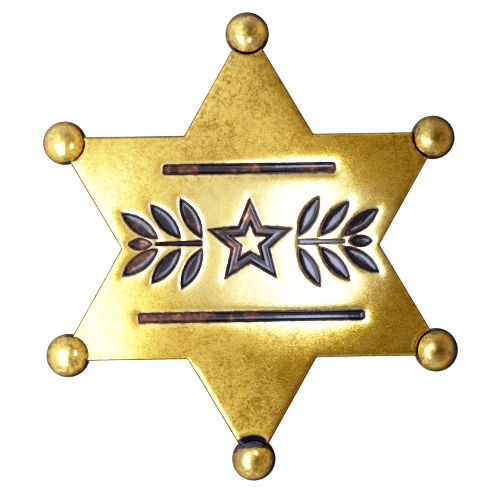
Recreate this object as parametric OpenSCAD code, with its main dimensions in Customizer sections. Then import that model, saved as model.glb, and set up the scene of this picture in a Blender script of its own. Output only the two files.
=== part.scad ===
// Six-pointed star badge with ball tips, enamelled laurel ornament and a bar pin.
// It lies face up on its six balls, and the pin stays just clear of the surface.

/* [Star plate] */
// Height of the badge over its top and bottom balls
badge_h = 70; // [60:1:85]
// Thickness of the flat plate
plate_t = 1.8; // [1.5:0.1:2.4]
// How far a sharp star point would reach past the centre of its ball
point_past_ball = 1.6; // [0.8:0.1:2.4]
// Rounding of the plate's front edge
edge_r = 0.4; // [0.2:0.05:0.6]

/* [Ball tips] */
// Diameter of each ball
ball_d = 6.6; // [5.6:0.1:7.6]
// Height of the balls' centres above the plate's back
ball_rise = 0.2; // [0.1:0.05:0.4]
// Width of the groove round a ball, at the plate's front
groove_w = 0.5; // [0.3:0.05:0.8]
// Width of the wider groove round the bottom ball
bottom_groove_w = 1.2; // [0.5:0.1:1.6]
// Depth of the grooves below the plate's front
groove_d = 0.45; // [0.3:0.05:0.7]

/* [Enamel] */
// Depth of the recesses below the plate's front
recess_d = 0.8; // [0.5:0.05:1.1]
// How far the enamel stays below the plate's front
enamel_drop = 0.2; // [0.1:0.05:0.4]
// Gap between the enamel and the metal round it
enamel_gap = 0.04; // [0.02:0.01:0.08]

/* [Bars] */
// Width of both bars
bar_w = 1.4; // [1:0.1:1.8]
// Length of the top bar
top_bar_l = 25.6; // [20:0.2:32]
// Length of the bottom bar
bottom_bar_l = 33.6; // [26:0.2:38]
// Corner radius of the bars
bar_corner_r = 0.4; // [0.2:0.05:0.45]
// Metal left between the ornament's height and each bar
bar_gap = 3.5; // [2:0.1:4]

/* [Laurel ornament] */
// Height of the ornament
ornament_h = 13.6; // [11:0.2:15]
// How far the ornament's centre stands above the badge's centre
ornament_rise = 0.6; // [0:0.1:1.2]
// Metal left between the ornament's end and the notch of the star
notch_gap = 1.1; // [0.8:0.1:2.5]
// Width of a leaf
leaf_w = 2.2; // [1.7:0.1:2.5]
// Width of the tip leaf
tip_leaf_w = 1.7; // [1.3:0.1:2]
// Width of the stem
stem_w = 0.7; // [0.5:0.05:0.9]
// Metal left between the stem and the foot of a leaf
leaf_land = 0.45; // [0.3:0.05:0.7]

/* [Centre star] */
// Radius of the centre star's points
star_r = 6.6; // [5.6:0.1:7]
// Radius of the centre star's inner corners
star_inner_r = 3; // [2.7:0.1:3.4]
// Width of the centre star's enamelled line
star_line_w = 1.5; // [1.1:0.1:1.8]
// Metal left between the centre star and the sprays
star_gap = 0.9; // [0.6:0.1:1.6]

/* [Bar pin] */
// Length of the pin's strip
strip_l = 30; // [26:0.5:36]
// Width of the strip
strip_w = 4.4; // [3.8:0.1:6]
// Thickness of the strip
strip_t = 0.5; // [0.35:0.05:0.6]
// Solder line between the strip and the plate's back
solder_t = 0.05; // [0.03:0.01:0.1]
// Height of the pin above the badge's centre
pin_rise = 8; // [6:0.5:10]
// How far the hinge and the catch stay above the surface that the balls lie on
pin_clear = 0.1; // [0.05:0.05:0.3]
// Diameter of the pin's wire
wire_d = 0.8; // [0.6:0.05:0.9]
// Length of the wire's point
wire_point_l = 2; // [1.2:0.1:3]
// How far the wire's point stands out of the catch
point_out = 0.6; // [0.3:0.1:1]
// Outside diameter of the hinge barrel and of the catch
barrel_d = 1.7; // [1.6:0.05:1.9]
// Width of the hinge barrel, across the strip
hinge_w = 3; // [2.4:0.1:3.4]
// Length of the catch, along the wire
catch_l = 2.8; // [2:0.1:4]
// Clearance round the wire in the catch
catch_clear = 0.1; // [0.08:0.01:0.15]
// Thickness of the webs that carry the hinge and the catch
web_t = 0.9; // [0.7:0.1:1.1]
// Metal of the strip past the hinge and the catch
strip_end = 1.6; // [1:0.1:2.5]

/* [Hidden] */
$fn = 64;
n_points = 6;
bottom_ball = n_points / 2;
step_angle = 360 / n_points;
edge_steps = 4;
overcut = 1;

ball_r = ball_d / 2;
ball_ring_r = badge_h / 2 - ball_r;
point_r = ball_ring_r + point_past_ball;
notch_r = point_r / sqrt(3);
edge_dist = point_r / 2;
n_corners = 2 * n_points;

// The balls lie on the XY plane and hold the plate up
back_z = ball_r - ball_rise;
front_z = back_z + plate_t;

// Radius at which a ball comes out of the plate's front
crease_r = sqrt(ball_r ^ 2 - (front_z - ball_r) ^ 2);

top_bar_y = ornament_rise + ornament_h / 2 + bar_gap + bar_w / 2;
bottom_bar_y = ornament_rise - ornament_h / 2 - bar_gap - bar_w / 2;

spray_start = star_r * cos(18) + star_gap;
spray_l = notch_r - notch_gap - spray_start;

// One spray's leaves, from its foot to its tip, as columns
// along: the leaf's foot, as a share of the spray's length
// long: the leaf's length, as a share of half the ornament's height
// turn: the leaf's angle from the stem, in degrees
along = 0;
long = 1;
turn = 2;
leaf_pairs = [
    [0.00, 0.98, 62],
    [0.29, 0.98, 49],
    [0.60, 0.96, 36]
];
tip_leaf_along = 0.68;
stem_end_along = 0.63;
leaf_rows = concat(leaf_pairs, [for (row = leaf_pairs) [row[along], row[long], -row[turn]]]);
n_leaves = len(leaf_rows) + 1;
sides = ["left", "right"];

wire_z = pin_clear + barrel_d / 2;
strip_z = back_z - solder_t - strip_t;
hinge_x = -strip_l / 2 + strip_end + barrel_d / 2;
catch_x = strip_l / 2 - strip_end - catch_l;

enamel_names = concat(
    ["enamel_bar_top", "enamel_bar_bottom", "enamel_star"],
    [for (side = sides) str("enamel_stem_", side)],
    [for (side = sides) for (i = [1:n_leaves]) str("enamel_leaf_", side, "_", i)]
);

// Rings of the plate, from its back to its front, as height and inset of the edge
plate_rings = concat(
    [[back_z, 0]],
    [for (i = [0:edge_steps])
        let (a = i * 90 / edge_steps)
        [front_z - edge_r * (1 - sin(a)), edge_r * (1 - cos(a))]]
);

// Corner k of the star outline drawn in by inset, where every edge moves by the same distance
function star_corner(k, inset) =
    let (r = (1 - inset / edge_dist) * (k % 2 == 0 ? point_r : notch_r), a = 90 + k * step_angle / 2)
    [r * cos(a), r * sin(a)];

// The star plate with a rounded front edge: rings of corners, with a middle point in each cap
module plate_blank() {
    last = len(plate_rings) - 1;
    corners = [for (ring = plate_rings, k = [0:n_corners - 1]) concat(star_corner(k, ring[1]), ring[0])];
    middles = [[0, 0, back_z], [0, 0, front_z]];
    sides = [for (j = [0:last - 1], k = [0:n_corners - 1])
        let (a = j * n_corners + k, b = j * n_corners + (k + 1) % n_corners)
        each [[a, a + n_corners, b], [b, a + n_corners, b + n_corners]]];
    caps = [for (k = [0:n_corners - 1])
        let (next = (k + 1) % n_corners)
        each [
            [len(corners), k, next],
            [len(corners) + 1, last * n_corners + next, last * n_corners + k]
        ]];
    polyhedron(concat(corners, middles), concat(sides, caps), convexity = 4);
}

module at_ball(k) rotate(90 + k * step_angle) translate([ball_ring_r, 0, 0]) children();

// Pocket that leaves a groove of width w round the ball in it
module ball_pocket(w) {
    translate([0, 0, front_z - groove_d]) {
        cylinder(r1 = crease_r, r2 = crease_r + w, h = groove_d);
        translate([0, 0, groove_d]) cylinder(r = crease_r + w, h = overcut);
    }
}

module round_bar(l, w, r) {
    square([l - 2 * r, w], center = true);
    square([l, w - 2 * r], center = true);
    for (x = [-1, 1], y = [-1, 1]) translate([x * (l / 2 - r), y * (w / 2 - r)]) circle(r);
}

// Leaf with two arched sides, from the origin along X
module leaf(l, w, grow) {
    arch_r = (l ^ 2 + w ^ 2) / (4 * w);
    intersection() {
        translate([l / 2, w / 2 - arch_r]) circle(arch_r + grow);
        translate([l / 2, arch_r - w / 2]) circle(arch_r + grow);
    }
}

// Five-pointed star whose edges all move out by grow
module five_star(grow) {
    corner_span = sqrt(star_r ^ 2 + star_inner_r ^ 2 - 2 * star_r * star_inner_r * cos(36));
    star_edge_dist = star_r * star_inner_r * sin(36) / corner_span;
    share = 1 + grow / star_edge_dist;
    polygon([for (k = [0:9])
        let (r = share * (k % 2 == 0 ? star_r : star_inner_r), a = 90 + k * 36)
        [r * cos(a), r * sin(a)]]);
}

module bar_cell(l, y, grow) {
    translate([0, y]) round_bar(l + 2 * grow, bar_w + 2 * grow, bar_corner_r + grow);
}

module star_cell(grow) {
    translate([0, ornament_rise]) difference() {
        five_star(grow);
        five_star(-star_line_w - grow);
    }
}

module on_side(side) mirror([side == "left" ? 1 : 0, 0]) translate([0, ornament_rise]) children();

module stem_cell(side, grow) {
    foot = stem_w / 2 + grow;
    tip = stem_w / 4 + grow;
    end = stem_end_along * spray_l + grow;
    on_side(side) translate([spray_start, 0])
        polygon([[-grow, -foot], [end, -tip], [end, tip], [-grow, foot]]);
}

module leaf_cell(side, i, grow) {
    on_side(side) {
        if (i < n_leaves) {
            row = leaf_rows[i - 1];
            translate([spray_start + row[along] * spray_l, sign(row[turn]) * (stem_w / 2 + leaf_land)])
                rotate(row[turn]) leaf(row[long] * ornament_h / 2, leaf_w, grow);
        } else {
            translate([spray_start + tip_leaf_along * spray_l, 0])
                leaf((1 - tip_leaf_along) * spray_l, tip_leaf_w, grow);
        }
    }
}

module all_cells(grow) {
    bar_cell(top_bar_l, top_bar_y, grow);
    bar_cell(bottom_bar_l, bottom_bar_y, grow);
    star_cell(grow);
    for (side = sides) {
        stem_cell(side, grow);
        for (i = [1:n_leaves]) leaf_cell(side, i, grow);
    }
}

// The plate and its ball tips are one casting
module star_plate() {
    color("darkgoldenrod") {
        difference() {
            plate_blank();
            for (k = [0:n_points - 1]) at_ball(k) ball_pocket(k == bottom_ball ? bottom_groove_w : groove_w);
            translate([0, 0, front_z - recess_d]) linear_extrude(recess_d + overcut) all_cells(0);
        }
        for (k = [0:n_points - 1]) at_ball(k) translate([0, 0, ball_r]) sphere(ball_r);
    }
}

// One fill of dark enamel, in the recess that its outline shows
module enamel() {
    color([0.09, 0.07, 0.08])
        translate([0, 0, front_z - recess_d + enamel_gap])
            linear_extrude(recess_d - enamel_gap - enamel_drop) children();
}

// Strip, hinge, wire and catch, closed and in one piece
module bar_pin() {
    color("silver") translate([0, pin_rise, 0]) {
        translate([0, 0, strip_z]) linear_extrude(strip_t) round_bar(strip_l, strip_w, strip_w / 3);
        hinge();
        catch();
        wire();
    }
}

// Carries a barrel at the wire's height, and ends inside the strip
module web(x, l) {
    translate([x, -web_t / 2, wire_z]) cube([l, web_t, strip_z + strip_t / 2 - wire_z]);
}

module hinge() {
    web(hinge_x - barrel_d / 2, barrel_d);
    translate([hinge_x, hinge_w / 2, wire_z]) rotate([90, 0, 0]) cylinder(d = barrel_d, h = hinge_w);
}

// A ring with a slot on one side, through which the wire is let go
module catch() {
    bore_d = wire_d + 2 * catch_clear;
    difference() {
        union() {
            web(catch_x, catch_l);
            translate([catch_x, 0, wire_z]) rotate([0, 90, 0]) cylinder(d = barrel_d, h = catch_l);
        }
        translate([catch_x - overcut, 0, wire_z])
            rotate([0, 90, 0]) cylinder(d = bore_d, h = catch_l + 2 * overcut);
        translate([catch_x - overcut, -barrel_d, wire_z - bore_d / 2])
            cube([catch_l + 2 * overcut, barrel_d, bore_d]);
    }
}

module wire() {
    wire_l = catch_x + catch_l + point_out - hinge_x;
    translate([hinge_x, 0, wire_z]) rotate([0, 90, 0]) {
        cylinder(d = wire_d, h = wire_l - wire_point_l);
        translate([0, 0, wire_l - wire_point_l]) cylinder(d1 = wire_d, d2 = wire_d / 4, h = wire_point_l);
    }
}

star_plate();
bar_pin();
enamel() bar_cell(top_bar_l, top_bar_y, -enamel_gap);  // enamel_bar_top
enamel() bar_cell(bottom_bar_l, bottom_bar_y, -enamel_gap);  // enamel_bar_bottom
enamel() star_cell(-enamel_gap);  // enamel_star
for (side = sides) {
    enamel() stem_cell(side, -enamel_gap);
    for (i = [1:n_leaves]) {
        enamel() leaf_cell(side, i, -enamel_gap);
    }
}
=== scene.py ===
import math
from functools import partial

import bmesh
import bpy
import numpy as np
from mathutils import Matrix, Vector
from mathutils.geometry import delaunay_2d_cdt


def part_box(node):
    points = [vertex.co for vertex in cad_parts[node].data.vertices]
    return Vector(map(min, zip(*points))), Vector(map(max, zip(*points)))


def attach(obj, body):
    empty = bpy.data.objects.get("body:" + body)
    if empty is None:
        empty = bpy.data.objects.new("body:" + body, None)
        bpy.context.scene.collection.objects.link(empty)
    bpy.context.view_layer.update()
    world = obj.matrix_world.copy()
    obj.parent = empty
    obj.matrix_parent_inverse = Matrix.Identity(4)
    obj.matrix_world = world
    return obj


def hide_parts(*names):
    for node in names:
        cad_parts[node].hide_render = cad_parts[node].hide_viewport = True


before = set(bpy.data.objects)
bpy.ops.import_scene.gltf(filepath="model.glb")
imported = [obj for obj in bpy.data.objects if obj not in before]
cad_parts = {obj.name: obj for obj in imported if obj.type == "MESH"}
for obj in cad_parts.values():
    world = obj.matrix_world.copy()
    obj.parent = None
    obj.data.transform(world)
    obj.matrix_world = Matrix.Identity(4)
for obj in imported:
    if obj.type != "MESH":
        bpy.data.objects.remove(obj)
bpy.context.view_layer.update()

mm = 0.001  # shapes are worked out in millimetres, and made into metres when a mesh is filled

# What the frame says of the badge, in millimetres
plateLow, plateHigh = (np.array(c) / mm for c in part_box("star_plate"))
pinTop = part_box("bar_pin")[1][2] / mm
ballRadius = (plateHigh[2] - plateLow[2]) / 2
ringRadius = (plateHigh[1] - plateLow[1]) / 2 - ballRadius

plate = {
    "thickness": 1.8,
    "solder": 0.05,  # between the plate's back and the pin's strip
    "pointPastBall": 1.6,
    "edgeRadius": 0.4,
    "backRadius": 0.12,
    "notchRadius": 0.35,
    "tipRadius": 0.7,
    "recessDepth": 0.8,
    "rimRadius": 0.165,  # rounding of the metal's lip round a recess
    "lipSag": 0.15,  # how far the metal sinks towards a recess
    "lipReach": 0.50,
    "edgeSag": 0.055,
    "edgeReach": 0.50,
    "rollSag": 0.25,  # the two edges that face down to the left are rolled over wider
    "rollReach": 1.05,
    "rollFade": 2.5,  # along them, from a little past the notch's corner
    "rollStart": 0.2,
    "upperRoll": 0.5,  # what the upper one has of it
    "grooveDepth": [0.38, 0.20, 0.24, 0.40, 0.32, 0.38],  # at each ball, from the top one anticlockwise
    "grooveWidth": [0.42, 0.42, 0.42, 1.2, 0.42, 0.42],
    "ridgeHeight": 0.03,  # of the metal pushed up beside a groove
    "ridgeWidth": 0.18,
    "ridgeGap": 0.2,
    # unevenness of a pressed plate: waves in x, in y and aslant
    "waveHeight": 0.035,
    "waveLengths": (5.1, 6.3, 3.7),
    "wavePhases": (1.3, -0.4, 2.1),
    "slantShare": 0.6,
    # the mesh's free points, near relief and elsewhere: their spacing and how far in they start
    "meshNear": (0.26, 0.7),
    "meshFar": (0.62, 1.45),
    "nearRecess": 1.5,  # how far from a recess and from a ball's crease counts as near
    "nearCrease": 2.6,
    "meshClearance": 0.1,  # of the free points from a recess's lip
    "meshUnderBall": 0.6,  # how far they go on under a ball
    "meshEdgeLines": (0.54, 0.70, 0.88, 1.10),
    "edgeLineEnd": 1.6,  # how far from a ball's crease those lines end
    "grooveArcs": (-0.2, 1.15, 9),  # arcs along a groove: first and last as shares of its width, count
    "arcClearance": 0.06,  # of the arcs from the rolled edge
}
backZ = pinTop + plate["solder"]
frontZ = backZ + plate["thickness"]
pointRadius = ringRadius + plate["pointPastBall"]
edgeDistance = pointRadius / 2
notchRadius = pointRadius / math.sqrt(3)
creaseRadius = math.sqrt(ballRadius ** 2 - (frontZ - ballRadius) ** 2)
ballAngles = [math.radians(90 + 60 * k) for k in range(6)]
ballCentres = np.array([[ringRadius * math.cos(a), ringRadius * math.sin(a)] for a in ballAngles])
bottomBall = 3

ornament = {
    "height": 13.6,
    "rise": 0.6,
    "barWidth": 1.4,
    "topBar": 25.6,
    "bottomBar": 33.6,
    "barCorner": 0.4,
    "barGap": 3.5,
    "notchGap": 1.1,
    "leafWidth": 2.2,
    "tipLeafWidth": 1.7,
    "stemWidth": 0.7,
    "leafLand": 0.45,
    "starRadius": 6.6,
    "starInner": 3.0,
    "starLine": 1.5,
    "starGap": 0.9,
    # foot along the spray, length as a share of half the height, turn in degrees
    "leafPairs": [(0.00, 0.98, 62), (0.29, 0.98, 49), (0.60, 0.96, 36)],
    "tipLeafAlong": 0.68,
    "stemEndAlong": 0.63,
}


def turned(points, degrees):
    c, s = math.cos(math.radians(degrees)), math.sin(math.radians(degrees))
    return points @ np.array([[c, s], [-s, c]])


def arcPoints(centre, radius, fromAngle, toAngle, count):
    a = np.linspace(fromAngle, toAngle, count)
    return np.column_stack([centre[0] + radius * np.cos(a), centre[1] + radius * np.sin(a)])


def evenly(start, end, count):
    t = np.arange(count)[:, None] / count
    return np.asarray(start) * (1 - t) + np.asarray(end) * t


# Star plate's outline drawn in by inset, anticlockwise, with the same number of points for any inset
def plateOutline(inset, perEdge=36, perCorner=7):
    share = 1 - inset / edgeDistance
    corners = []
    for k in range(12):
        a = math.radians(90 + 30 * k)
        r = share * (pointRadius if k % 2 == 0 else notchRadius)
        corners.append(np.array([r * math.cos(a), r * math.sin(a)]))
    arcs = []
    for k in range(12):
        corner, before, after = corners[k], corners[k - 1], corners[(k + 1) % 12]
        u = (before - corner) / np.linalg.norm(before - corner)
        v = (after - corner) / np.linalg.norm(after - corner)
        half = math.acos(float(np.clip(u @ v, -1, 1))) / 2
        notch = k % 2 == 1
        radius = plate["notchRadius"] + inset if notch else max(plate["tipRadius"] - inset, 0.02)
        centre = corner + (u + v) / np.linalg.norm(u + v) * radius / math.sin(half)
        start = corner + u * radius / math.tan(half) - centre
        end = corner + v * radius / math.tan(half) - centre
        a0 = math.atan2(start[1], start[0])
        turn = (math.atan2(end[1], end[0]) - a0 + math.pi) % (2 * math.pi) - math.pi
        arcs.append(arcPoints(centre, radius, a0, a0 + turn, perCorner))
    points = []
    for k in range(12):
        points.append(arcs[k][:-1])
        points.append(evenly(arcs[k][-1], arcs[(k + 1) % 12][0], perEdge))
    return np.vstack(points)


# Two arcs that meet in two tips; grown outwards, each tip is rounded
def leafOutline(length, width, grow, perArc=30, perTip=6):
    archRadius = (length ** 2 + width ** 2) / (4 * width)
    drop = archRadius - width / 2
    radius = archRadius + grow
    half = math.acos(min(1, drop / min(radius, archRadius)))
    low = arcPoints((length / 2, drop), radius, -math.pi / 2 - half, -math.pi / 2 + half, perArc + 1)
    high = arcPoints((length / 2, -drop), radius, math.pi / 2 - half, math.pi / 2 + half, perArc + 1)
    if grow > 0:
        right = arcPoints((length, 0), grow, -math.pi / 2 + half, math.pi / 2 - half, perTip + 1)
        left = arcPoints((0, 0), grow, math.pi / 2 + half, 3 * math.pi / 2 - half, perTip + 1)
    else:
        right, left = (np.repeat(end[-1:], perTip + 1, axis=0) for end in (low, high))
    return np.vstack([low[:-1], right[:-1], high[:-1], left[:-1]])


def barOutline(length, width, corner, grow, perCorner=6, perLong=90, perShort=4):
    length = length + 2 * grow
    width = width + 2 * grow
    corner = max(corner + grow, 0.02)
    x = length / 2 - corner
    y = width / 2 - corner
    arcs = []
    for k, centre in enumerate([(x, y), (-x, y), (-x, -y), (x, -y)]):
        arcs.append(arcPoints(centre, corner, k * math.pi / 2, (k + 1) * math.pi / 2, perCorner))
    points = []
    for k in range(4):
        points.append(arcs[k][:-1])
        points.append(evenly(arcs[k][-1], arcs[(k + 1) % 4][0], perLong if k % 2 == 0 else perShort))
    return np.vstack(points)


def fiveStar(grow, perEdge=12):
    r, inner = ornament["starRadius"], ornament["starInner"]
    span = math.sqrt(r ** 2 + inner ** 2 - 2 * r * inner * math.cos(math.radians(36)))
    share = 1 + grow / (r * inner * math.sin(math.radians(36)) / span)
    corners = []
    for k in range(10):
        a = math.radians(90 + 36 * k)
        radius = share * (r if k % 2 == 0 else inner)
        corners.append((radius * math.cos(a), radius * math.sin(a)))
    return np.vstack([evenly(corners[k], corners[(k + 1) % 10], perEdge) for k in range(10)])


def stemOutline(length, grow, perSide=20):
    foot, tip = ornament["stemWidth"] / 2 + grow, ornament["stemWidth"] / 4 + grow
    corners = [(-grow, -foot), (length + grow, -tip), (length + grow, tip), (-grow, foot)]
    counts = [perSide, 4, perSide, 4]
    return np.vstack([evenly(corners[k], corners[(k + 1) % 4], counts[k]) for k in range(4)])


# Each cell of the ornament: its node's name and a function from grow to its closed loops
def ornamentCells():
    o = ornament
    rise = np.array([0, o["rise"]])
    barStep = o["height"] / 2 + o["barGap"] + o["barWidth"] / 2
    start = o["starRadius"] * math.cos(math.radians(18)) + o["starGap"]
    length = notchRadius - o["notchGap"] - start
    tipFoot = [start + o["tipLeafAlong"] * length, 0]
    tipLength = (1 - o["tipLeafAlong"]) * length
    rows = o["leafPairs"] + [(along, share, -turn) for along, share, turn in o["leafPairs"]]

    def onSide(points, side):
        points = points + rise
        return points if side == "right" else (points * [-1, 1])[::-1]

    def bar(barLength, y, grow):
        return [barOutline(barLength, o["barWidth"], o["barCorner"], grow) + [0, y]]

    def outlinedStar(grow):
        return [fiveStar(grow) + rise, fiveStar(-o["starLine"] - grow) + rise]

    def stem(side, grow):
        return [onSide(stemOutline(o["stemEndAlong"] * length, grow) + [start, 0], side)]

    def leaf(side, foot, size, turn, grow):
        return [onSide(turned(leafOutline(size, o["leafWidth"], grow), turn) + foot, side)]

    def tipLeaf(side, grow):
        return [onSide(leafOutline(tipLength, o["tipLeafWidth"], grow, perArc=20) + tipFoot, side)]

    cells = {
        "enamel_bar_top": partial(bar, o["topBar"], o["rise"] + barStep),
        "enamel_bar_bottom": partial(bar, o["bottomBar"], o["rise"] - barStep),
        "enamel_star": outlinedStar,
    }
    for side in ("left", "right"):
        cells["enamel_stem_" + side] = partial(stem, side)
        for i, (along, share, turn) in enumerate(rows, 1):
            foot = [start + along * length, math.copysign(o["stemWidth"] / 2 + o["leafLand"], turn)]
            cells[f"enamel_leaf_{side}_{i}"] = partial(leaf, side, foot, share * o["height"] / 2, turn)
        cells[f"enamel_leaf_{side}_{len(rows) + 1}"] = partial(tipLeaf, side)
    return cells


cells = ornamentCells()
recessLoops = [loop for outline in cells.values() for loop in outline(0)]


# Distance from each point to the nearest of the loops' sides, as far as reach
def distanceTo(points, loops, reach=2.5):
    best = np.full(len(points), float(reach))
    for loop in loops:
        near = np.where(((points > loop.min(0) - reach) & (points < loop.max(0) + reach)).all(1))[0]
        a, side = loop, np.roll(loop, -1, axis=0) - loop
        size = np.maximum((side ** 2).sum(1), 1e-12)
        for chunk in np.array_split(near, len(near) * len(loop) // 500000 + 1):
            away = points[chunk][:, None, :] - a[None]
            t = np.clip((away * side).sum(2) / size, 0, 1)
            apart = away - t[..., None] * side
            best[chunk] = np.minimum(best[chunk], np.sqrt((apart ** 2).sum(2)).min(1))
    return best


# The plate is two crossed triangles, pointing to 90 and 270 degrees: how far in from the three sides
# of one of them each point lies
def sideInsets(points, first):
    angles = np.radians(first + 60 + 120 * np.arange(3))
    return edgeDistance - points @ np.array([np.cos(angles), np.sin(angles)])


# Distance in from the plate's straight edges, negative outside
def edgeInset(points):
    return np.max([sideInsets(points, first).min(1) for first in (90, 270)], axis=0)


# How near each point lies to an edge that faces right, 1 on it
def rightEdge(points, reach):
    best = np.zeros(len(points))
    inset = edgeInset(points)
    for first, k in ((90, 2), (270, 0)):
        sides = sideInsets(points, first)
        nearest = (sides.argmin(1) == k) & (np.abs(sides.min(1) - inset) < 1e-6)
        best = np.where(nearest, np.exp(-np.maximum(inset, 0) / reach), best)
    return best


# Distances over the plane to the balls' centres, a row for each ball
def toBallCentres(points):
    return np.array([np.linalg.norm(points - c, axis=1) for c in ballCentres])


def smoothStep(t):
    t = np.clip(t, 0, 1)
    return t * t * (3 - 2 * t)


# 0 up to start, 1 past it by width and smooth between
def ramp(values, start, width):
    return smoothStep((values - start) / width)


# Height of the plate's front over the plane: lips round the recesses, rolled edge, grooves and the
# slight unevenness of a pressed plate
def faceHeight(points):
    p = plate
    z = np.full(len(points), frontZ)
    for outline in cells.values():
        z -= p["lipSag"] * np.exp(-distanceTo(points, outline(0), 5 * p["lipReach"]) / p["lipReach"])
    z -= p["edgeSag"] * np.exp(-np.maximum(edgeInset(points), 0) / p["edgeReach"])
    x, y = points[:, 0], points[:, 1]
    roll = np.clip(1 - sideInsets(points, 270)[:, 2] / p["rollReach"], 0, 1) ** 2
    roll = roll * np.where(y > 0, p["upperRoll"], 1)
    notchAlong = edgeDistance / math.sqrt(3)
    pastNotch = np.abs(points @ [0.5, -math.sqrt(0.75)]) - notchAlong - p["rollStart"]
    z -= p["rollSag"] * roll * smoothStep(pastNotch / p["rollFade"])
    lengthX, lengthY, lengthSlant = p["waveLengths"]
    phaseX, phaseY, phaseSlant = p["wavePhases"]
    wave = np.sin(x / lengthX + phaseX) * np.cos(y / lengthY + phaseY)
    z += p["waveHeight"] * (wave + p["slantShare"] * np.sin((x - y) / lengthSlant + phaseSlant))
    for k, reach in enumerate(toBallCentres(points)):
        width = p["grooveWidth"][k]
        z -= p["grooveDepth"][k] * (1 - ramp(reach, creaseRadius, width))
        top = creaseRadius + width + p["ridgeGap"]
        z += p["ridgeHeight"] * np.exp(-((reach - top) / p["ridgeWidth"]) ** 2)
    return z


# Which points lie inside the loops, by the even and odd rule
def insideEvenOdd(points, loops):
    inside = np.zeros(len(points), bool)
    for loop in loops:
        low, high = loop.min(0), loop.max(0)
        near = np.where(((points >= low) & (points <= high)).all(1))[0]
        if not len(near):
            continue
        a, b = loop, np.roll(loop, -1, axis=0)
        x, y = points[near, 0:1], points[near, 1:2]
        crosses = (a[:, 1] > y) != (b[:, 1] > y)
        rise = np.where(b[:, 1] == a[:, 1], 1e-9, b[:, 1] - a[:, 1])
        at = (b[:, 0] - a[:, 0]) * (y - a[:, 1]) / rise + a[:, 0]
        inside[near] ^= (crosses & (x < at)).sum(1) % 2 == 1
    return inside


# Constrained triangles between closed loops, by the even and odd rule, through the free points
def triangulated(loops, points=()):
    corners, sides = [], []
    for loop in loops:
        first, count = len(corners), len(loop)
        corners += [Vector(p) for p in loop]
        sides += [(first + i, first + (i + 1) % count) for i in range(count)]
    corners += [Vector(p) for p in points]
    verts, _, faces, _, _, _ = delaunay_2d_cdt(corners, sides, [], 1, 1e-6)
    xy = np.array([(v.x, v.y) for v in verts])
    middles = xy[np.array(faces)].mean(1)
    return xy, [f for f, inside in zip(faces, insideEvenOdd(middles, loops)) if inside]


class MeshParts:  # collects blocks of corners and faces, in millimetres
    def __init__(self):
        self.corners, self.faces = [], []

    def add(self, corners, faces):
        first = len(self.corners)
        self.corners += [tuple(c) for c in corners]
        self.faces += [tuple(first + i for i in f) for f in faces]

    def addSheet(self, xy, faces, z, flip=False):
        z = np.broadcast_to(z, len(xy))
        self.add(np.column_stack([xy, z]), [f[::-1] if flip else f for f in faces])

    def addStrip(self, rings):  # rings of as many points each, joined one to the next
        count = len(rings[0])
        faces = []
        for j in range(len(rings) - 1):
            for i in range(count):
                n = (i + 1) % count
                faces.append((j * count + i, j * count + n, (j + 1) * count + n, (j + 1) * count + i))
        self.add(np.vstack(rings), faces)

    def makeObject(self, name, mergeWithin=2e-4):
        mesh = bpy.data.meshes.new(name)
        mesh.from_pydata([[c * mm for c in v] for v in self.corners], [], self.faces)
        bm = bmesh.new()
        bm.from_mesh(mesh)
        bmesh.ops.remove_doubles(bm, verts=bm.verts, dist=mergeWithin * mm)
        bmesh.ops.dissolve_degenerate(bm, edges=bm.edges, dist=mergeWithin * mm)
        bmesh.ops.recalc_face_normals(bm, faces=bm.faces)
        bm.to_mesh(mesh)
        bm.free()
        piece = bpy.data.objects.new(name, mesh)
        bpy.context.scene.collection.objects.link(piece)
        return piece


def ringAt(xy, z):
    return np.column_stack([xy, np.broadcast_to(z, len(xy))])


# Free points for the plate's front: closer together near recesses and grooves
def facePoints():
    p = plate
    clear = p["rimRadius"] + p["meshClearance"]
    rows = []
    for near, (step, start) in ((True, p["meshNear"]), (False, p["meshFar"])):
        xs = np.arange(-plateHigh[0], plateHigh[0], step)
        ys = np.arange(-plateHigh[1], plateHigh[1], step * 0.866)
        grid = np.array([(x + (j % 2) * step / 2, y) for j, y in enumerate(ys) for x in xs])
        grid = grid[edgeInset(grid) > start]
        away = distanceTo(grid, recessLoops)
        toBall = toBallCentres(grid).min(0)
        close = (away < p["nearRecess"]) | (toBall < creaseRadius + p["nearCrease"])
        free = (away > clear) & (toBall > creaseRadius - p["meshUnderBall"])
        rows.append(grid[free & (close if near else ~close)])
    for inset in p["meshEdgeLines"]:
        line = plateOutline(inset)
        away = distanceTo(line, recessLoops)
        toBall = toBallCentres(line).min(0)
        rows.append(line[(away > clear) & (toBall > creaseRadius + p["edgeLineEnd"])])
    for k, centre in enumerate(ballCentres):
        for reach in creaseRadius + p["grooveWidth"][k] * np.linspace(*p["grooveArcs"]):
            ring = arcPoints(centre, reach, 0, 2 * math.pi, 150)[:-1]
            rows.append(ring[edgeInset(ring) > p["edgeRadius"] + p["arcClearance"]])
    return np.vstack(rows)


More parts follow.
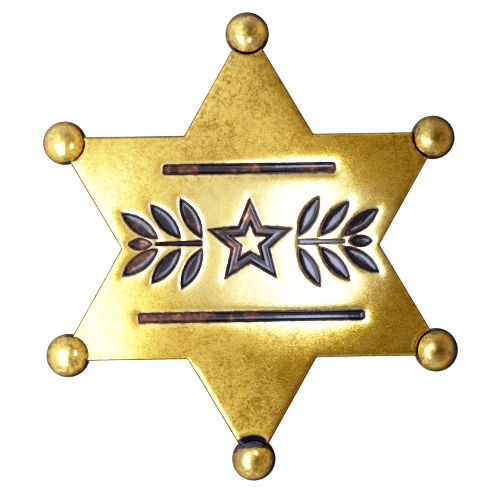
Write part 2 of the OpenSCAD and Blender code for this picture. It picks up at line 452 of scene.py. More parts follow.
def makePlate():
    p = plate
    parts = MeshParts()
    edge = p["edgeRadius"]
    rim = p["rimRadius"]
    holes = [loop for outline in cells.values() for loop in outline(rim)]
    points = facePoints()
    points = points[~insideEvenOdd(points, holes)]
    xy, faces = triangulated([plateOutline(edge)] + holes, points)
    parts.addSheet(xy, faces, faceHeight(xy))

    rings = []
    for a in np.linspace(90, 0, 8):  # the rolled front edge, then the side and the back's edge
        outline = plateOutline(edge * (1 - math.cos(math.radians(a))))
        share = 1 - edge * (1 - math.sin(math.radians(a))) / p["thickness"]
        rings.append(ringAt(outline, backZ + (faceHeight(outline) - backZ) * share))
    for a in np.linspace(0, 90, 4):
        outline = plateOutline(p["backRadius"] * (1 - math.cos(math.radians(a))))
        rings.append(ringAt(outline, backZ + p["backRadius"] * (1 - math.sin(math.radians(a)))))
    parts.addStrip(rings)
    xy, faces = triangulated([plateOutline(p["backRadius"])])
    parts.addSheet(xy, faces, backZ, flip=True)

    floorZ = frontZ - p["recessDepth"]
    for outline in cells.values():
        sides = [[] for _ in outline(0)]
        for a in np.linspace(90, 0, 6):  # the lip, then the wall
            grow = rim * (1 - math.cos(math.radians(a)))
            drop = rim * (1 - math.sin(math.radians(a)))
            for side, loop in zip(sides, outline(grow)):
                side.append(ringAt(loop, faceHeight(loop) - drop))
        for side, loop in zip(sides, outline(0)):
            side.append(ringAt(loop, floorZ))
            parts.addStrip(side)
        xy, faces = triangulated(outline(0))
        parts.addSheet(xy, faces, floorZ)
    return parts.makeObject("star_body")


class Wire:  # an output socket that takes part in Python expressions
    def __init__(self, graph, socket):
        self.graph, self.socket = graph, socket

    def __add__(self, other):
        return self.graph.maths("ADD", self, other)

    def __radd__(self, other):
        return self.graph.maths("ADD", other, self)

    def __sub__(self, other):
        return self.graph.maths("SUBTRACT", self, other)

    def __rsub__(self, other):
        return self.graph.maths("SUBTRACT", other, self)

    def __mul__(self, other):
        return self.graph.maths("MULTIPLY", self, other)

    def __rmul__(self, other):
        return self.graph.maths("MULTIPLY", other, self)

    def __truediv__(self, other):
        return self.graph.maths("DIVIDE", self, other)

    def __rtruediv__(self, other):
        return self.graph.maths("DIVIDE", other, self)


class Graph:  # a node tree of a material, the world or a geometry modifier
    def __init__(self, tree):
        self.tree = tree

    # Adds a node: its settings first, then the values or links of its sockets
    def add(self, kind, settings=None, sockets=None, output=0):
        node = self.tree.nodes.new(kind)
        for name, value in (settings or {}).items():
            setattr(node, name, value)
        self.feed(node, sockets or {})
        return Wire(self, node.outputs[output]) if len(node.outputs) else node

    def feed(self, node, sockets):
        for name, value in sockets.items():
            if isinstance(value, Wire):
                self.tree.links.new(value.socket, node.inputs[name])
            else:
                node.inputs[name].default_value = value

    def maths(self, operation, *values):
        return self.add("ShaderNodeMath", {"operation": operation}, dict(enumerate(values)))

    def vector(self, operation, *values):
        return self.add("ShaderNodeVectorMath", {"operation": operation}, dict(enumerate(values)))

    def scaled(self, vector, scale):
        settings = {"operation": "SCALE"}
        return self.add("ShaderNodeVectorMath", settings, {"Vector": vector, "Scale": scale})

    # Every output of the node that a wire comes from, by name
    def outputs(self, wire):
        return {output.name: Wire(self, output) for output in wire.socket.node.outputs}

    def split(self, vector):
        return self.outputs(self.add("ShaderNodeSeparateXYZ", {}, {"Vector": vector})).values()

    def attribute(self, name):
        return self.add("ShaderNodeAttribute", {"attribute_name": name}, output="Fac")

    def mix(self, factor, first, second):
        return self.add("ShaderNodeMix", {"data_type": "RGBA"}, {0: factor, 6: first, 7: second}, 2)

    # 0 below low, 1 above high and smooth between
    def step(self, value, low, high):
        settings = {"interpolation_type": "SMOOTHSTEP"}
        return self.add("ShaderNodeMapRange", settings, {0: value, 1: low, 2: high})

    def noise(self, vector, scale, detail=2.0, roughness=0.5, distortion=0.0):
        return self.add("ShaderNodeTexNoise", {}, {
            "Vector": vector,
            "Scale": scale,
            "Detail": detail,
            "Roughness": roughness,
            "Distortion": distortion,
        })


def newMaterial(name):
    material = bpy.data.materials.new(name)
    material.use_nodes = True
    material.node_tree.nodes.clear()
    graph = Graph(material.node_tree)
    shader = graph.add("ShaderNodeBsdfPrincipled")
    graph.add("ShaderNodeOutputMaterial", {}, {"Surface": shader})
    place = graph.add("ShaderNodeTexCoord", output="Object")
    return material, graph, shader.socket.node, graph.scaled(place, 1 / mm)


brass = {
    "gold": (0.86, 0.56, 0.070, 1),
    "pale": (1.00, 0.76, 0.14, 1),
    "olive": (0.375, 0.222, 0.015, 1),
    # a painted highlight on a recess's lip, partly rubbed-bright metal
    "lipHighlightAndWear": (1.00, 0.88, 0.48, 1),
    "hairline": (1.00, 0.82, 0.22, 1),
    "tan": (0.50, 0.27, 0.060, 1),
    "umber": (0.28, 0.165, 0.016, 1),
    "plum": (0.19, 0.115, 0.080, 1),
    "rust": (0.66, 0.28, 0.060, 1),
    "brown": (0.095, 0.045, 0.018, 1),
    "rim": (0.075, 0.036, 0.020, 1),  # along the plate's edge
    "black": (0.040, 0.040, 0.080, 1),
    "paleSheen": (1.00, 0.86, 0.44, 1),  # a painted highlight: paler over the face's bright patch, a little at its upper left, and on the balls outside their painted shade
    # how strongly the painted highlight shows over the face, where it lies and how wide it is
    "sheen": 0.34,
    "sheenAt": (4.0, 0.3),
    "sheenSize": (20.0, 12.0),
    "grainPerMm": 1.75,
    "fleckPerMm": 4.6,
    "blotPerMm": 0.55,
    "cloudPerMm": 0.15,
    # fine scratches, most of them low down: each set's turn in degrees and its shift
    "hairlines": [(24, 3.0), (-38, 50.0), (66, 90.0), (-8, 140.0)],
    "hairlinePerMm": (0.55, 4.4, 1.0),
    # where each tone sets in and where it is full, in its own noise
    "oliveFrom": (1.26, 1.51),
    "paleBelow": (1.07, 1.31),
    "tanFrom": (0.54, 0.72),
    "umberFrom": (0.43, 0.57),
    "hairlineFrom": (0.71, 0.79),
    "plumFrom": (0.10, 0.40),
    "brownFrom": (0.30, 0.70),
    "blackFrom": (0.70, 0.98),
    "rustFrom": (0.15, 0.85),
    # how much of each tone shows where it is full
    "paleShare": 0.9,
    "tanShare": 0.30,
    "ballStain": 0.78,
    "ballShine": 0.16,
    # the painted highlight at the upper left
    "upperLeftSheen": 0.08,
    "lipHighlightShare": 0.7,
    "plumShare": 0.9,
    "brownShare": 0.95,
    "rustShare": 0.85,
    "rimShare": 0.95,
    "hairlineShare": 0.05,  # and how much more they show low down
    "hairlineLow": 0.50,
    "bump": 0.50,
    "bumpDepth": 0.00003,
    "roughness": 0.19,
    "coat": 1.0,
    "coatRoughness": 0.12,
    "coatIor": 1.78,
}


def brassMaterial():
    b = brass
    material, g, shader, place = newMaterial("antique_brass")
    x, y, _ = g.split(place)
    patina = g.attribute("patina")
    edgeTint = g.attribute("edge")
    onBall = g.attribute("ball")
    shade = g.attribute("shade")
    lip = g.attribute("lip")
    rust = g.attribute("rust")
    grain = g.noise(place, b["grainPerMm"], 3.0, 0.65)
    flecks = g.noise(g.vector("ADD", place, (31.0, 7.0, 3.0)), b["fleckPerMm"], 2.0, 0.6)
    clouds = g.noise(place, b["cloudPerMm"], 3.0, 0.6, 0.4)
    blots = g.noise(g.vector("ADD", place, (5.0, 17.0, 11.0)), b["blotPerMm"], 3.0, 0.6)
    stain = g.noise(g.vector("ADD", place, (2.0, 40.0, 9.0)), b["blotPerMm"] * 0.7, 3.0, 0.6, 0.6)
    uneven = g.noise(g.vector("ADD", place, (60.0, 3.0, 8.0)), 0.9, 1.0)

    # Olive in the speckle's dark spots, fewer at the far left as a painted highlight, and pale gold in
    # its light ones
    speck = grain * 0.90 + flecks * 0.95 + blots * 0.35 + clouds * 0.40  # about 1.3, give or take 0.14
    dark = g.step(speck, *b["oliveFrom"]) * (0.62 + 0.38 * g.step(x, -21.0, -5.0))
    colour = g.mix(dark, b["gold"], b["olive"])
    colour = g.mix((1 - g.step(speck, *b["paleBelow"])) * b["paleShare"], colour, b["pale"])
    colour = g.mix(g.step(stain, *b["tanFrom"]) * b["tanShare"], colour, b["tan"])

    # The balls are stained and brown, with painted shade strongest on the right balls, and painted paler
    # where that shade is not
    ballStain = g.step(stain + (grain - 0.5) * 0.5, *b["umberFrom"]) * onBall
    colour = g.mix(ballStain * b["ballStain"], colour, b["umber"])
    colour = g.mix((1 - shade) * onBall * b["ballShine"], colour, b["paleSheen"])
    colour = g.mix(shade, colour, b["umber"])

    # Painted highlight: paler over the middle, and a little at the upper left
    sheenX = (x - b["sheenAt"][0]) / b["sheenSize"][0]
    sheenY = (y - b["sheenAt"][1]) / b["sheenSize"][1]
    sheenMask = 1 - g.step(sheenX * sheenX + sheenY * sheenY + (blots - 0.5) * 0.8, 0.5, 1.4)
    colour = g.mix(sheenMask * b["sheen"], colour, b["paleSheen"])
    upperLeft = g.step(y, -6.0, 10.0) * (1 - g.step(x, -2.0, 12.0))
    colour = g.mix(upperLeft * b["upperLeftSheen"], colour, b["paleSheen"])

    low = g.step(0 - y, -2.0, 14.0) * g.step(x, -14.0, -9.0)
    for degrees, shift in b["hairlines"]:
        swung = g.add("ShaderNodeVectorRotate", {"rotation_type": "Z_AXIS"},
                      {"Vector": place, "Angle": math.radians(degrees)})
        moved = g.vector("ADD", swung, (shift, shift, 0.0))
        streaks = g.noise(g.vector("MULTIPLY", moved, b["hairlinePerMm"]), 1.0, 0.0, 0.5, 0.4)
        share = b["hairlineShare"] + b["hairlineLow"] * low
        scratched = g.step(streaks, *b["hairlineFrom"]) * share * (1 - onBall)
        colour = g.mix(scratched, colour, b["hairline"])

    # A painted highlight on the lip of a recess, partly rubbed-bright metal; tarnish, with painted shade
    # on the balls, from plum through brown to black; rust; a dark tint along the edge
    tarnishAndShade = patina + (grain - 0.5) * 0.5 + (blots - 0.5) * 0.4
    colour = g.mix(lip * b["lipHighlightShare"], colour, b["lipHighlightAndWear"])
    colour = g.mix(g.step(tarnishAndShade, *b["plumFrom"]) * b["plumShare"], colour, b["plum"])
    colour = g.mix(g.step(tarnishAndShade, *b["brownFrom"]) * b["brownShare"], colour, b["brown"])
    colour = g.mix(g.step(patina + (grain - 0.5) * 0.3, *b["blackFrom"]), colour, b["black"])
    rusty = g.step(rust + (blots - 0.5) * 0.5, *b["rustFrom"])
    colour = g.mix(rusty * b["rustShare"], colour, b["rust"])
    colour = g.mix(edgeTint * b["rimShare"], colour, b["rim"])

    height = grain * 0.5 + flecks * 0.5 + uneven * onBall * 4.0
    bump = {"Strength": b["bump"], "Distance": b["bumpDepth"], "Height": height}
    blackened = g.step(patina, *b["blackFrom"])
    rough = b["roughness"] + (grain - 0.5) * 0.16 + dark * 0.08 + onBall * 0.04
    rough = rough - lip * 0.05 - blackened * 0.10
    g.feed(shader, {
        "Base Color": colour,
        "Metallic": 1.0,
        "Roughness": rough,
        "Normal": g.add("ShaderNodeBump", {}, bump),
        "Coat Weight": b["coat"] * (1 - 0.40 * dark) * (1 - 0.6 * edgeTint),
        "Coat Roughness": b["coatRoughness"],
        "Coat IOR": b["coatIor"],
    })
    return material


paint = {
    "dark": (0.019, 0.016, 0.020, 1),
    "brown": (0.085, 0.036, 0.026, 1),
    "copper": (0.25, 0.110, 0.052, 1),
    "copperGlint": (0.56, 0.29, 0.15, 1),  # painted glints among the copper's specks
    "blotchPerMm": 0.34,
    "fleckPerMm": 1.7,
    # where the brown patches, the copper in them and its painted glints set in and are full
    "patchFrom": (0.47, 0.64),
    "copperFrom": (0.40, 0.60),
    "copperGlintFrom": (0.56, 0.74),
    "lean": 0.009,  # the copper shows through less and less towards the right
    "leafDark": 0.13,  # and less in the left leaves than in the bars
    "bump": 0.40,
    "bumpDepth": 0.00010,
    "roughness": 0.10,
    "ior": 1.55,
    "tint": (1.0, 0.95, 0.86, 1),
    "coat": 0.7,
    "coatRoughness": 0.03,
    "coatIor": 1.6,
}


def paintMaterial():
    p = paint
    material, g, shader, place = newMaterial("dark_enamel")
    x, y, _ = g.split(place)
    blotch = g.noise(place, p["blotchPerMm"], 2.0, 0.55, 0.3)
    fine = g.noise(place, p["fleckPerMm"], 3.0, 0.6)
    leaves = g.step(0 - x, 5.0, 9.0) * (1 - g.step(g.maths("ABSOLUTE", y), 6.6, 8.0))
    patches = g.step(blotch - x * p["lean"] - leaves * p["leafDark"], *p["patchFrom"])
    copper = patches * g.step(fine, *p["copperFrom"])
    colour = g.mix(patches * 0.8, p["dark"], p["brown"])
    colour = g.mix(copper * 0.7, colour, p["copper"])
    # painted glints: lighter specks in the copper
    colour = g.mix(copper * g.step(fine, *p["copperGlintFrom"]) * 0.5, colour, p["copperGlint"])
    height = g.noise(place, 0.9, 2.0) + fine * 0.35
    bump = {"Strength": p["bump"], "Distance": p["bumpDepth"], "Height": height}
    g.feed(shader, {
        "Base Color": colour,
        "Metallic": copper * 0.35,
        "Roughness": p["roughness"] + fine * 0.12,
        "IOR": p["ior"],
        "Specular Tint": p["tint"],
        "Normal": g.add("ShaderNodeBump", {}, bump),
        "Coat Weight": p["coat"],
        "Coat Roughness": p["coatRoughness"],
        "Coat IOR": p["coatIor"],
    })
    return material


steel = {
    "plain": (0.62, 0.60, 0.56, 1),
    "dull": (0.33, 0.29, 0.24, 1),
    "streakPerMm": (0.6, 6.0, 6.0),
    "spotPerMm": 0.7,
    "bump": 0.3,
    "bumpDepth": 0.00003,
    "roughness": 0.26,
}


def steelMaterial():
    s = steel
    material, g, shader, place = newMaterial("pin_steel")
    streaks = g.noise(g.vector("MULTIPLY", place, s["streakPerMm"]), 1.0, 3.0, 0.6)
    spots = g.noise(place, s["spotPerMm"], 3.0, 0.6)
    bump = {"Strength": s["bump"], "Distance": s["bumpDepth"], "Height": streaks}
    g.feed(shader, {
        "Base Color": g.mix(g.step(spots, 0.5, 0.7) * 0.5, s["plain"], s["dull"]),
        "Metallic": 1.0,
        "Roughness": s["roughness"] + streaks * 0.2,
        "Normal": g.add("ShaderNodeBump", {}, bump),
    })
    return material


brassFinish = brassMaterial()
paintFinish = paintMaterial()
steelFinish = steelMaterial()
print("materials made")

ballTips = {
    "count": 6,
    # each ball's tarnish with painted shade, mostly on its side turned from the lamps: direction in
    # degrees, strength, start as a share of the radius
    "tarnishAndShade": [
        (90, 0.45, 0.35), (190, 0.0, 0.5), (200, 0.10, 0.5),
        (-20, 0.40, 0.35), (-10, 0.80, 0.35), (15, 0.30, 0.45),
    ],
    "shade": [0.30, 0.0, 0.10, 0.50, 0.80, 0.90],  # how brown each ball is, with painted shade, most on the right balls
    "crease": [0.60, 0.40, 0.45, 1.0, 0.65, 0.60],  # how dark the crease at each ball is
    "subdivisions": 5,  # of each ball's mesh
    "dent": 0.05,  # how far a ball departs from round
    "dentPerMm": 0.22,
    "dentMiddle": 0.62,  # nearly all of it goes inwards
    "seed": 4.0,
}


# Six balls on a ring, slightly uneven, by a Geometry Nodes tree
def makeBallTips():
    tree = bpy.data.node_groups.new("ball_tips", "GeometryNodeTree")
    g = Graph(tree)
    kinds = {
        "Count": "Int", "Subdivisions": "Int", "Ball Radius": "Float", "Ring Radius": "Float",
        "Height": "Float", "Dent": "Float", "Dent Scale": "Float", "Seed": "Float", "Finish": "Material",
    }
    identifiers = {}
    for name, kind in kinds.items():
        socket = tree.interface.new_socket(name, in_out="INPUT", socket_type="NodeSocket" + kind)
        identifiers[name] = socket.identifier
    tree.interface.new_socket("Geometry", in_out="OUTPUT", socket_type="NodeSocketGeometry")
    given = g.outputs(g.add("NodeGroupInput"))
    ring = g.add("GeometryNodeMeshCircle", {"fill_type": "NONE"},
                 {"Vertices": given["Count"], "Radius": given["Ring Radius"]})
    lift = g.add("ShaderNodeCombineXYZ", {}, {"Z": given["Height"]})
    ring = g.add("GeometryNodeTransform", {},
                 {"Geometry": ring, "Translation": lift, "Rotation": (0, 0, math.pi / 2)})
    ball = g.add("GeometryNodeMeshIcoSphere", {},
                 {"Radius": given["Ball Radius"], "Subdivisions": given["Subdivisions"]})
    balls = g.add("GeometryNodeInstanceOnPoints", {}, {"Points": ring, "Instance": ball})
    balls = g.add("GeometryNodeRealizeInstances", {}, {"Geometry": balls})
    place = g.add("GeometryNodeInputPosition")
    dents = g.add("ShaderNodeTexNoise", {"noise_dimensions": "4D"},
                  {"Vector": place, "W": given["Seed"], "Scale": given["Dent Scale"], "Detail": 1.5})
    outward = g.add("GeometryNodeInputNormal")
    push = g.scaled(outward, (dents - ballTips["dentMiddle"]) * given["Dent"])
    balls = g.add("GeometryNodeSetPosition", {}, {"Geometry": balls, "Offset": push})
    balls = g.add("GeometryNodeSetMaterial", {}, {"Geometry": balls, "Material": given["Finish"]})
    g.add("NodeGroupOutput", {}, {0: balls})

    mesh = bpy.data.meshes.new("ball_tips")
    tips = bpy.data.objects.new("ball_tips", mesh)
    bpy.context.scene.collection.objects.link(tips)
    modifier = tips.modifiers.new("ball_tips", "NODES")
    modifier.node_group = tree
    t = ballTips
    values = {
        "Count": t["count"],
        "Subdivisions": t["subdivisions"],
        "Ball Radius": ballRadius * mm,
        "Ring Radius": ringRadius * mm,
        "Height": ballRadius * mm,
        "Dent": t["dent"] * mm,
        "Dent Scale": t["dentPerMm"] / mm,
        "Seed": t["seed"],
        "Finish": brassFinish,
    }
    for name, value in values.items():
        modifier[identifiers[name]] = value
    return tips


# The object's evaluated mesh as plain data, with its modifiers gone
def freeze(piece):
    bpy.context.view_layer.update()
    evaluated = piece.evaluated_get(bpy.context.evaluated_depsgraph_get())
    mesh = bpy.data.meshes.new_from_object(evaluated)
    piece.modifiers.clear()
    piece.data = mesh
    mesh.name = piece.name
    return piece


def meshPoints(mesh):
    co = np.empty(len(mesh.vertices) * 3)
    mesh.vertices.foreach_get("co", co)
    return co.reshape(-1, 3) / mm


def setAttribute(mesh, name, values):
    attribute = mesh.attributes.new(name, "FLOAT", "POINT")
    attribute.data.foreach_set("value", np.asarray(values, dtype=np.float32))


def towards(degrees):
    return [math.cos(math.radians(degrees)), math.sin(math.radians(degrees))]


wear = {
    "recess": 0.75,  # tarnish at a recess, and how soon it fades
    "recessReach": 0.16,
    "sunken": 0.35,  # where the metal is pressed down at a ball
    "side": 0.85,
    "back": 0.1,
    "groove": (0.45, 0.5),  # where a groove's tarnish starts to fade and how soon, in widths of it
    # a ball's dark side: where it sets in and how soon it is full, in radii, outwards from the ball's
    # middle and inwards to the badge's; at the bottom ball it bends
    "flankOutward": (0.825, 0.05),
    "flankInward": (0.25, 0.15),
    "bottomFlank": (0.56, 0.10),
    "bottomBend": 0.15,
    "ballRim": 0.15,
    "ballRimFrom": (0.78, 0.22),
    "ballFade": 0.65,  # how softly a ball's tarnish and painted shade set in
    "brownSide": 20,  # direction in which a ball is browner and darker with painted shade, in degrees
    "litBallShare": 0.5,  # how much of the balls' stain the upper left ball has; less, so it is painted lighter, as lit most
    "lipAt": 0.30,  # how far from a recess its painted highlight lies, and how wide it is; in part it is rubbed-bright metal
    "lipWidth": 0.19,
    "rustReach": 0.80,
    "rustAbove": 0.35,  # how much of the rust the upper edges have
    "rustTo": 14,  # and how far right it goes
    "tintWidth": 0.17,  # of the dark line along the edges, and how softly it ends
    "tintFade": 0.16,
}


# What the brass reads at each corner of the mesh
def addWear(mesh):
    t = ballTips
    w = wear
    at = meshPoints(mesh)
    xy, z = at[:, :2], at[:, 2]
    inset = edgeInset(xy)
    toRecess = distanceTo(xy, recessLoops)
    toBall = np.min([np.linalg.norm(at - [*c, ballRadius], axis=1) for c in ballCentres], axis=0)
    onBall = toBall < ballRadius + 0.08
    onFace = ~onBall & (z > frontZ - 0.6)

    # Tarnish round the recesses and in the grooves, a dark tone on the plate's sides, and on the balls
    # tarnish with painted shade on their sides turned from the lamps
    patina = w["recess"] * np.exp(-toRecess / w["recessReach"])
    sunken = (z < frontZ - 0.12) & (inset > 0.6) & (toRecess > 1.2)
    patina = np.maximum(patina, np.where(sunken, w["sunken"], 0))
    patina = np.where((inset < 0.10) & ~onBall & (z < frontZ - 0.1), w["side"], patina)
    shade = np.zeros(len(at))
    for k, reach in enumerate(toBallCentres(xy)):
        centre = ballCentres[k]
        width = plate["grooveWidth"][k]
        crease = t["crease"][k]
        thisBall = onBall & (reach < ballRadius + 0.2)
        grooveStart, grooveFade = w["groove"]
        groove = 1 - ramp(reach - creaseRadius, width * grooveStart, width * grooveFade)
        groove = np.where(reach < creaseRadius + 2, groove, 0) * crease
        inGroove = (reach < creaseRadius + width) & ~onBall
        patina = np.where(inGroove, np.maximum(patina, groove), patina)

        offset = (xy - centre) / ballRadius
        share = reach / ballRadius
        inward = np.clip((xy - centre) @ (-centre / ringRadius) / ballRadius, -1, 1)
        sideways = np.sqrt(np.maximum(share ** 2 - inward ** 2, 0))
        flank = ramp(share, *w["flankOutward"]) * ramp(inward, *w["flankInward"]) * crease
        if k == bottomBall:
            flank = np.maximum(flank, ramp(inward + w["bottomBend"] * sideways, *w["bottomFlank"]))
        # tarnish with painted shade, darker on the ball's side turned from the lamps
        angle, strength, start = t["tarnishAndShade"][k]
        rim = w["ballRim"] * ramp(share, *w["ballRimFrom"])
        rim = rim + strength * ramp(offset @ towards(angle), start, w["ballFade"])
        patina = np.where(thisBall, np.maximum(flank, rim), patina)
        # brown and painted shade on each ball, more towards its upper right
        brown = t["shade"][k] * (0.5 + 0.5 * ramp(offset @ towards(w["brownSide"]), -0.4, 1))
        shade = np.where(thisBall, brown, shade)
    patina = np.where((z < backZ + 0.05) & ~onBall, w["back"], patina)
    setAttribute(mesh, "patina", np.clip(patina, 0, 1))
    setAttribute(mesh, "shade", shade)
    # the upper left ball keeps less stain: painted lighter where the light falls most
    atUpperLeft = (xy[:, 0] < -20) & (xy[:, 1] > 0)
    setAttribute(mesh, "ball", onBall * np.where(atUpperLeft, w["litBallShare"], 1.0))

    # A painted highlight on the lip of a recess, partly rubbed-bright metal, rust along the edges that
    # face right and a dark tint along all edges
    lip = np.exp(-((toRecess - w["lipAt"]) / w["lipWidth"]) ** 2)
    setAttribute(mesh, "lip", lip * (~onBall & (z > frontZ - 0.4)))
    right = rightEdge(xy, w["rustReach"])
    rust = right * (~onBall & (z > frontZ - 0.5) & (xy[:, 0] < w["rustTo"]))
    setAttribute(mesh, "rust", rust * np.where(xy[:, 1] < 0, 1.0, w["rustAbove"]))
    edge = 1 - ramp(inset, w["tintWidth"], w["tintFade"])
    edge = edge * (0.75 + 0.25 * np.minimum(1, 1.4 * right))
    setAttribute(mesh, "edge", edge * onFace)


def makeStar():
    star = makePlate()
    print("plate:", len(star.data.polygons), "faces")
    tips = freeze(makeBallTips())
    print("ball tips:", len(tips.data.polygons), "faces")
    star.data.materials.append(brassFinish)
    union = star.modifiers.new("join", "BOOLEAN")
    union.operation = "UNION"
    union.solver = "MANIFOLD"
    union.object = tips
    freeze(star)
    bpy.data.objects.remove(tips)
    addWear(star.data)
    star.data.shade_smooth()
    star.data.set_sharp_from_angle(angle=math.radians(38))
    return star


# How many open edges a mesh has, and its volume in cubic millimetres
def measured(mesh):
    bm = bmesh.new()
    bm.from_mesh(mesh)
    openEdges = sum(not e.is_manifold for e in bm.edges)
    volume = round(bm.calc_volume() / mm ** 3, 1)
    bm.free()
    return openEdges, volume


star = makeStar()
print("star:", len(star.data.polygons), "faces, open edges and volume", *measured(star.data))
star.name = "star_casting"
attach(star, "root")
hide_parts("star_plate")

fill = {
    "gap": 0.04,
    "below": 0.16,  # the fill's rim under the plate's face
    "wall": 0.24,  # how far the fill runs down close to its rim, and how wide that is
    "wallReach": 0.30,
    "sag": 0.16,  # how far it sinks from there to the middle of the channel
    "flatBar": 0.06,  # half the width of the flat middle
    "flatStem": 0.03,
    "flatLeaf": 0.12,
    # how far in from the rim its rings lie
    "rings": [
        0, 0.03, 0.06, 0.09, 0.12, 0.15, 0.18, 0.21, 0.25,
        0.30, 0.36, 0.43, 0.52, 0.62, 0.73, 0.84, 0.95,
    ],
}


# How far in from its rim a fill's middle lies
def fillReach(node):
    o = ornament
    gap = fill["gap"]
    if node == "enamel_star":
        return o["starLine"] / 2 - gap
    if "bar" in node:
        return o["barWidth"] / 2 - gap - fill["flatBar"]
    if "stem" in node:
        return o["stemWidth"] / 4 - gap - fill["flatStem"]
    tip = str(2 * len(o["leafPairs"]) + 1)
    width = o["tipLeafWidth"] if node.endswith(tip) else o["leafWidth"]
    return width / 2 - gap - fill["flatLeaf"]


# Fill of one recess: straight walls, a flat underside and a channelled top
def makeFill(node):
    f = fill
    outline = cells[node]
    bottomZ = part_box(node)[0][2] / mm
    rimZ = frontZ - f["below"]
    widest = fillReach(node)

    def topZ(inward):
        t = min(inward / widest, 1)
        return rimZ - f["wall"] * smoothStep(inward / f["wallReach"]) - f["sag"] * (1 - (1 - t) ** 2)

    parts = MeshParts()
    steps = [s for s in f["rings"] if s < widest - 0.02] + [widest]
    for side in range(len(outline(0))):
        rings = [ringAt(outline(-f["gap"])[side], bottomZ)]
        rings += [ringAt(outline(-f["gap"] - s)[side], topZ(s)) for s in steps]
        parts.addStrip(rings)
    if node != "enamel_star":  # the star's two walls meet in the middle of its line
        xy, faces = triangulated(outline(-f["gap"] - widest))
        parts.addSheet(xy, faces, topZ(widest))
    xy, faces = triangulated(outline(-f["gap"]))
    parts.addSheet(xy, faces, bottomZ, flip=True)
    piece = parts.makeObject(node.replace("enamel", "paint"))
    piece.data.materials.append(paintFinish)
    piece.data.shade_smooth()
    piece.data.set_sharp_from_angle(angle=math.radians(50))
    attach(piece, "root")
    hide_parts(node)
    return piece


fills = [makeFill(node) for node in cells]
print("fills:", len(fills), "with", sum(measured(piece.data)[0] for piece in fills), "open edges")

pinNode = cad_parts["bar_pin"]
pinNode.material_slots[0].material = steelFinish

view = {
    "distance": 0.30,
    "width": 0.07423,  # what the picture's width shows at the plate's face
    "roll": -0.9,
    "centre": (-0.00007, -0.00052),  # the point of the plate in the picture's middle
    "sensor": 36,
}
camera = bpy.data.objects.new("camera", bpy.data.cameras.new("camera"))
bpy.context.scene.collection.objects.link(camera)
bpy.context.scene.camera = camera
camera.data.sensor_width = view["sensor"]
camera.data.lens = view["sensor"] * view["distance"] / view["width"]
camera.data.clip_start = 0.01
camera.location = (view["centre"][0], view["centre"][1], frontZ * mm + view["distance"])
camera.rotation_euler = (0, 0, math.radians(view["roll"]))

studio = {
    # soft lamps low over the badge, facing down: place, size in x and y, radiance, shape, colour
    "lamps": {
        "lampLeft": ((-0.0560, -0.0435, 0.065), 0.065, 0.1120, 2.5, "RECTANGLE", "daylight"),
        "lampLeftSoft": ((-0.0560, -0.0435, 0.0655), 0.070, 0.1180, 1.0, "RECTANGLE", "daylight"),
        "lampLeftCore": ((-0.0580, -0.0450, 0.0645), 0.062, 0.1020, 0.5, "RECTANGLE", "daylight"),
        "lampRight": ((0.0102, -0.0003, 0.042), 0.0117, 0.0243, 2.85, "RECTANGLE", "daylight"),
        "lampRightSoft": ((0.0073, -0.0024, 0.0422), 0.0224, 0.0277, 1.65, "ELLIPSE", "daylight"),
        "lampRightCore": ((0.0107, -0.0029, 0.0418), 0.0088, 0.0190, 2.3, "ELLIPSE", "daylight"),
        "lampMiddle": ((-0.0235, 0.008, 0.050), 0.066, 0.064, 0.44, "ELLIPSE", "neutral"),
        "lampLow": ((-0.0045, -0.0335, 0.050), 0.024, 0.028, 0.48, "ELLIPSE", "neutral"),
    },
    "daylight": (0.87, 0.94, 1.30),
    "neutral": (0.97, 0.96, 0.98),
    "overhead": (0.46, 0.235),  # what the flat face mirrors, towards the left and the right
    "overheadAcross": (-0.10, 0.11),
    "overheadTop": (0.78, 1.60),  # and its share towards the bottom and the top
    "overheadAlong": (-0.08, 0.08),
    "overheadFade": (0.2, 0.5),  # how far from straight up it ends
    "flatFade": (0.15, 0.40),  # and how far the flat face sees
    "tent": (1.0, 0.72),  # what slopes mirror, at the left and right
    "tentFrom": ((0.13, 0.75), (0.10, 0.80)),
    "tentAcross": (-0.15, 0.25),
    "leftWall": 0.9,
    "leftWallFrom": (0.15, 0.55),
    "wobble": 0.9,  # a real room has no straight edges
    "below": (0.42, 0.12),  # what comes up from the paper, at the left and right
    "belowAcross": (-0.30, 0.30),
    "soft": (0.95, 0.99, 1.16, 1),  # the ceiling over the face
    "cool": (0.98, 0.99, 1.08, 1),
    "warm": (1.0, 0.77, 0.62, 1),  # what the shaded side of the room sends back
    "warmLow": (1.0, 0.86, 0.72, 1),  # and the same from low down
    "paper": (0.9, 0.9, 0.9, 1),
    "paperRoughness": 0.9,
    "paperGlow": 1.10,
    "paperHalf": 1.5,
}
for name, (at, sizeX, sizeY, radiance, shape, colour) in studio["lamps"].items():
    lamp = bpy.data.objects.new(name, bpy.data.lights.new(name, "AREA"))
    bpy.context.scene.collection.objects.link(lamp)
    lamp.data.shape = shape
    lamp.data.size = sizeX
    lamp.data.size_y = sizeY
    lamp.data.energy = radiance * math.pi * sizeX * sizeY * (math.pi / 4 if shape == "ELLIPSE" else 1)
    lamp.data.color = studio[colour]
    lamp.visible_camera = False
    lamp.location = at


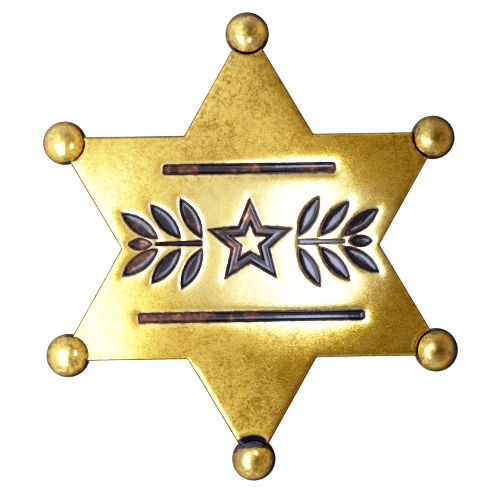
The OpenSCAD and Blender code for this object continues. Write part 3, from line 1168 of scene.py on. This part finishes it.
# The room that the metal mirrors: a ceiling over the face, a tent and a wall round it, paper below
def makeRoom():
    s = studio
    world = bpy.data.worlds.new("studio")
    bpy.context.scene.world = world
    world.use_nodes = True
    world.node_tree.nodes.clear()
    g = Graph(world.node_tree)
    direction = g.add("ShaderNodeTexCoord", output="Generated")
    x, y, z = g.split(direction)
    lean = g.maths("SQRT", x * x + y * y)
    flat = 1 - g.step(lean, *s["flatFade"])  # the part that the flat face mirrors
    wobble = (g.noise(direction, 2.0, 2.0) - 0.5) * s["wobble"] * (1 - flat)
    across = x + wobble

    def between(low, high, share):
        return low + (high - low) * share

    overhead = between(*s["overhead"], g.step(x, *s["overheadAcross"]))
    overhead = overhead * between(*s["overheadTop"], g.step(y, *s["overheadAlong"]))
    tentLeft, tentRight = (s["tent"][i] * g.step(lean, *s["tentFrom"][i]) for i in range(2))
    tentRight = tentRight * (1 + 0.35 * g.step(lean, 0.85, 0.96))
    tent = between(tentLeft, tentRight, g.step(across, *s["tentAcross"]))
    wall = s["leftWall"] * g.step(0 - across, *s["leftWallFrom"]) * (1 - 0.6 * g.step(lean, 0.80, 0.96))
    level = overhead * (1 - g.step(lean, *s["overheadFade"])) + tent + wall
    upward = g.step(z, -0.80, 0.10)
    below = between(*s["below"], g.step(across, *s["belowAcross"]))
    level = level * upward + below * (1 - upward)
    shaded = g.step(x, -0.06, 0.10) * flat + g.step(across, -0.2, 0.7) * (1 - flat)
    bright = g.mix(flat, s["cool"], s["soft"])
    dim = g.mix(flat, s["warmLow"], s["warm"])
    tint = g.mix(g.maths("MAXIMUM", shaded, 1 - upward), bright, dim)
    background = g.add("ShaderNodeBackground", {}, {"Color": tint, "Strength": level})
    g.add("ShaderNodeOutputWorld", {}, {"Surface": background})


def makeFloor():
    half = studio["paperHalf"]
    floor = bpy.data.objects.new("floor", bpy.data.meshes.new("floor"))
    corners = [(-half, -half, 0), (half, -half, 0), (half, half, 0), (-half, half, 0)]
    floor.data.from_pydata(corners, [], [(0, 1, 2, 3)])
    bpy.context.scene.collection.objects.link(floor)
    paper, g, shader, _ = newMaterial("white_paper")
    g.feed(shader, {
        "Base Color": studio["paper"],
        "Roughness": studio["paperRoughness"],
        "Emission Color": (1, 1, 1, 1),
        "Emission Strength": studio["paperGlow"],
    })
    floor.data.materials.append(paper)
    floor.visible_glossy = False  # the metal's sides mirror a dull room, not the bright paper


makeRoom()
makeFloor()
print("lamps:", len(studio["lamps"]), "and the room")

# A print's tone curve: deep shadows and soft highlights
tone = {
    "black": 0.008,
    "white": 1.8,
    # light in the scene, and how bright it shows
    "points": [
        (0.03, 0.0064), (0.06, 0.022), (0.10, 0.051), (0.16, 0.104), (0.30, 0.240),
        (0.60, 0.545), (0.80, 0.725), (1.00, 0.850), (1.30, 0.945), (1.60, 0.985),
    ],
}
look = bpy.context.scene.view_settings
look.view_transform = "Standard"
look.exposure = 0.0
look.use_curve_mapping = True
mapping = look.curve_mapping
mapping.black_level = [tone["black"]] * 3
mapping.white_level = [tone["white"]] * 3
for light, shown in tone["points"]:
    mapping.curves[3].points.new(light / tone["white"], shown)
mapping.update()
